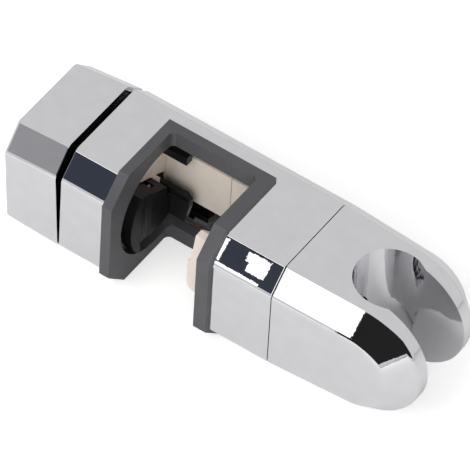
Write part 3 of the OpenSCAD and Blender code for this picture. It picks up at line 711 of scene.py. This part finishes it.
class SLIDER_OT_stage(bpy.types.Operator):
    """Set up the floor, the studio cards, the lamps and the camera"""
    bl_idname = "slider.stage"
    bl_label = "Stage"

    def execute(self, context):
        scene = context.scene
        sizes = scene.slider_stage
        scene.view_settings.view_transform = "Standard"
        self.add_floor(sizes)
        self.add_edge_cards(sizes)
        self.add_end_card()
        self.light_world(scene)
        self.add_lamps(scene, sizes)
        self.aim_camera(scene, sizes)
        return {"FINISHED"}

    @staticmethod
    def ray_levels(tree, others, camera, glossy):
        """A level for rays from the camera, one for reflected or refracted rays and one for the others."""
        path = tree.nodes.new("ShaderNodeLightPath")
        level = None
        for kind, wanted in (("Is Transmission Ray", glossy), ("Is Glossy Ray", glossy),
                             ("Is Camera Ray", camera)):
            choice = tree.nodes.new("ShaderNodeMix")
            choice.inputs["A"].default_value = others
            choice.inputs["B"].default_value = wanted
            tree.links.new(path.outputs[kind], choice.inputs["Factor"])
            if level:
                tree.links.new(level, choice.inputs["A"])
            level = choice.outputs["Result"]
        return level

    @staticmethod
    def bare_material(name):
        material = bpy.data.materials.new(name)
        material.use_nodes = True
        tree = material.node_tree
        tree.nodes.clear()
        return material, tree, tree.nodes.new("ShaderNodeOutputMaterial")

    def add_floor(self, sizes):
        """White paper that keeps the slider's shadow and looks white to the camera."""
        deselect()
        bpy.ops.mesh.primitive_plane_add(size=sizes.floor_size, location=(0, 0, CAD_BOX[0][2]))
        floor = bpy.context.object
        floor.name = "floor"
        settle(floor)
        material, tree, out = self.bare_material("floor_paper")
        paper = tree.nodes.new("ShaderNodeBsdfDiffuse")
        paper.inputs["Color"].default_value = (0.8, 0.8, 0.8, 1)
        glow = tree.nodes.new("ShaderNodeEmission")
        tree.links.new(self.ray_levels(tree, others=0, camera=0.45, glossy=0), glow.inputs["Strength"])
        both = tree.nodes.new("ShaderNodeAddShader")
        tree.links.new(paper.outputs["BSDF"], both.inputs[0])
        tree.links.new(glow.outputs["Emission"], both.inputs[1])
        tree.links.new(both.outputs["Shader"], out.inputs["Surface"])
        floor.data.materials.append(material)

    def card(self, name, board, low, high, level, color=(1, 1, 1)):
        """A glowing rectangle on a board's plane, which only reflections see."""
        deselect()
        bpy.ops.mesh.primitive_plane_add(size=1)
        panel = bpy.context.object
        panel.name = name
        size = Matrix.Diagonal((high[0] - low[0], high[1] - low[1], 1, 1))
        middle = Matrix.Translation(((low[0] + high[0]) / 2, (low[1] + high[1]) / 2, 0))
        panel.matrix_world = board @ middle @ size
        settle(panel)
        material, tree, out = self.bare_material(name)
        glow = tree.nodes.new("ShaderNodeEmission")
        glow.inputs["Color"].default_value = (*color, 1)
        glow.inputs["Strength"].default_value = level
        tree.links.new(glow.outputs["Emission"], out.inputs["Surface"])
        panel.data.materials.append(material)
        panel.visible_camera = False
        panel.visible_diffuse = False
        panel.visible_shadow = False

    @staticmethod
    def board(place, along, upward):
        """The plane of a card, with its local X and Y in world directions."""
        along, upward = Vector(along).normalized(), Vector(upward).normalized()
        turn = Matrix((along, upward, along.cross(upward))).transposed().to_4x4()
        return Matrix.Translation(place) @ turn

    @staticmethod
    def toward_camera(sizes):
        across = math.cos(sizes.elevation)
        return Vector((math.sin(sizes.azimuth) * across, -math.cos(sizes.azimuth) * across,
                       math.sin(sizes.elevation)))

    def add_edge_cards(self, sizes):
        """Cards that the camera sees mirrored in the slanted edge above the notch's open side."""
        slant = Vector((0, SHELL_LOW.y, SHELL_HIGH.z)) + Vector((0, 1, -1)) * sizes.edge_middle
        mirrored = -self.toward_camera(sizes).reflect(Vector((0, -1, 1)).normalized())
        row = self.board(slant + sizes.card_reach * mirrored, X_AXIS, mirrored.cross(X_AXIS))
        front = row @ Matrix.Translation((0, 0, -0.3 * MM))
        white, navy, silver = (1, 1, 1), (0.65, 0.74, 1), (0.97, 0.97, 1)
        # Each card's left, right, low and high side on its board in millimetres, its level and its colour
        cards = (
            ("cap_card", row, -56, -31, -7, 7, 0.36, silver),
            ("dark_card", row, -30.8, 39.4, -4.7, 4.1, 0.07, navy),
            ("upper_strip", row, -30.8, 39.4, 4.25, 6, 1.6, white),
            ("fork_card", row, 39.7, 65.2, -7, 7, 1.6, white),
            ("crescent", front, 20.3, 21.7, -2.9, 3.4, 1.6, white),
            ("window", front, 29.6, 35.4, -1.9, 3.2, 1.6, white),
            ("window_corner", front, 28.2, 29.7, 0.6, 3, 1.6, white),
            ("lower_strip", front, 19, 34.8, -6, -3.3, 1.6, white),
            ("edge_line", front, 20, 39.3, 3.7, 4.1, 0.01, white),
        )
        for name, board, left, right, low, high, level, color in cards:
            self.card(name, board, (left * MM, low * MM), (right * MM, high * MM), level, color)

    def add_end_card(self):
        """An upright dark card that the slanted edge of the round end mirrors."""
        corner = Vector((46, -63, 11.5)) * MM
        upright = self.board(corner, along=(117, 52, 0), upward=(0, 0, 1))
        self.card("end_card", upright, (0, 0), (128 * MM, 58 * MM), level=0.02)

    def light_world(self, scene):
        """An even grey studio that looks white to the camera."""
        world = bpy.data.worlds.new("studio")
        scene.world = world
        world.use_nodes = True
        tree = world.node_tree
        ground = tree.nodes["Background"]
        ground.inputs["Color"].default_value = (1, 1, 1, 1)
        tree.links.new(self.ray_levels(tree, others=0.6, camera=1, glossy=0.69), ground.inputs["Strength"])

    @staticmethod
    def add_lamps(scene, sizes):
        """Two soft lamps in front, left out of the reflections, where the cards stand for them."""
        for name, place, watts in (("key", (-0.15, -0.55, 0.55), 3), ("fill", (0.35, -0.55, 0.3), 1.6)):
            lamp = bpy.data.lights.new(name, "AREA")
            lamp.shape = "SQUARE"
            lamp.size = sizes.lamp_size
            lamp.energy = watts
            holder = bpy.data.objects.new(name, lamp)
            scene.collection.objects.link(holder)
            holder.location = place
            holder.rotation_euler = (-Vector(place)).to_track_quat("-Z", "Y").to_euler()
            holder.visible_glossy = False

    def aim_camera(self, scene, sizes):
        back = self.toward_camera(sizes)
        level = Vector((math.cos(sizes.azimuth), math.sin(sizes.azimuth), 0))
        right = math.cos(sizes.roll) * level + math.sin(sizes.roll) * back.cross(level)
        camera = bpy.data.objects.new("camera", bpy.data.cameras.new("camera"))
        scene.collection.objects.link(camera)
        camera.data.sensor_width = 36
        camera.data.lens = sizes.lens
        camera.data.clip_end = 50
        place = Matrix((right, back.cross(right), back)).transposed().to_4x4()
        place.translation = Vector(sizes.target) + back * sizes.distance
        camera.matrix_world = place
        scene.camera = camera


class SLIDER_PT_panel(bpy.types.Panel):
    """Sizes, colours and steps of the slider"""
    bl_idname = "SLIDER_PT_panel"
    bl_label = "Shower Rail Slider"
    bl_space_type = "VIEW_3D"
    bl_region_type = "UI"
    bl_category = "Slider"

    def draw(self, context):
        for group in GROUPS:
            box = self.layout.box()
            settings = getattr(context.scene, group)
            for name in settings.__annotations__:
                box.prop(settings, name)
        for step in STEPS:
            self.layout.operator(step.bl_idname)


GROUPS = {"slider_shell": ShellSizes, "slider_notch": NotchSizes, "slider_fork": ForkSizes,
          "slider_finishes": Finishes, "slider_stage": StageSizes}
STEPS = (SLIDER_OT_inner_parts, SLIDER_OT_body_shell, SLIDER_OT_release_cap, SLIDER_OT_handset_fork,
         SLIDER_OT_rail_frame, SLIDER_OT_cream_pads, SLIDER_OT_brake_jaw, SLIDER_OT_stage)


def register():
    for kind in (*GROUPS.values(), *STEPS, SLIDER_PT_panel):
        bpy.utils.register_class(kind)
    for name, kind in GROUPS.items():
        setattr(bpy.types.Scene, name, PointerProperty(type=kind))


def unregister():
    for name in GROUPS:
        delattr(bpy.types.Scene, name)
    for kind in reversed((*GROUPS.values(), *STEPS, SLIDER_PT_panel)):
        bpy.utils.unregister_class(kind)


def main():
    register()
    bpy.ops.slider.inner_parts()
    bpy.ops.slider.body_shell()
    bpy.ops.slider.release_cap()
    bpy.ops.slider.handset_fork()
    bpy.ops.slider.rail_frame()
    bpy.ops.slider.cream_pads()
    bpy.ops.slider.brake_jaw()
    bpy.ops.slider.stage()


if __name__ == "__main__":
    main()
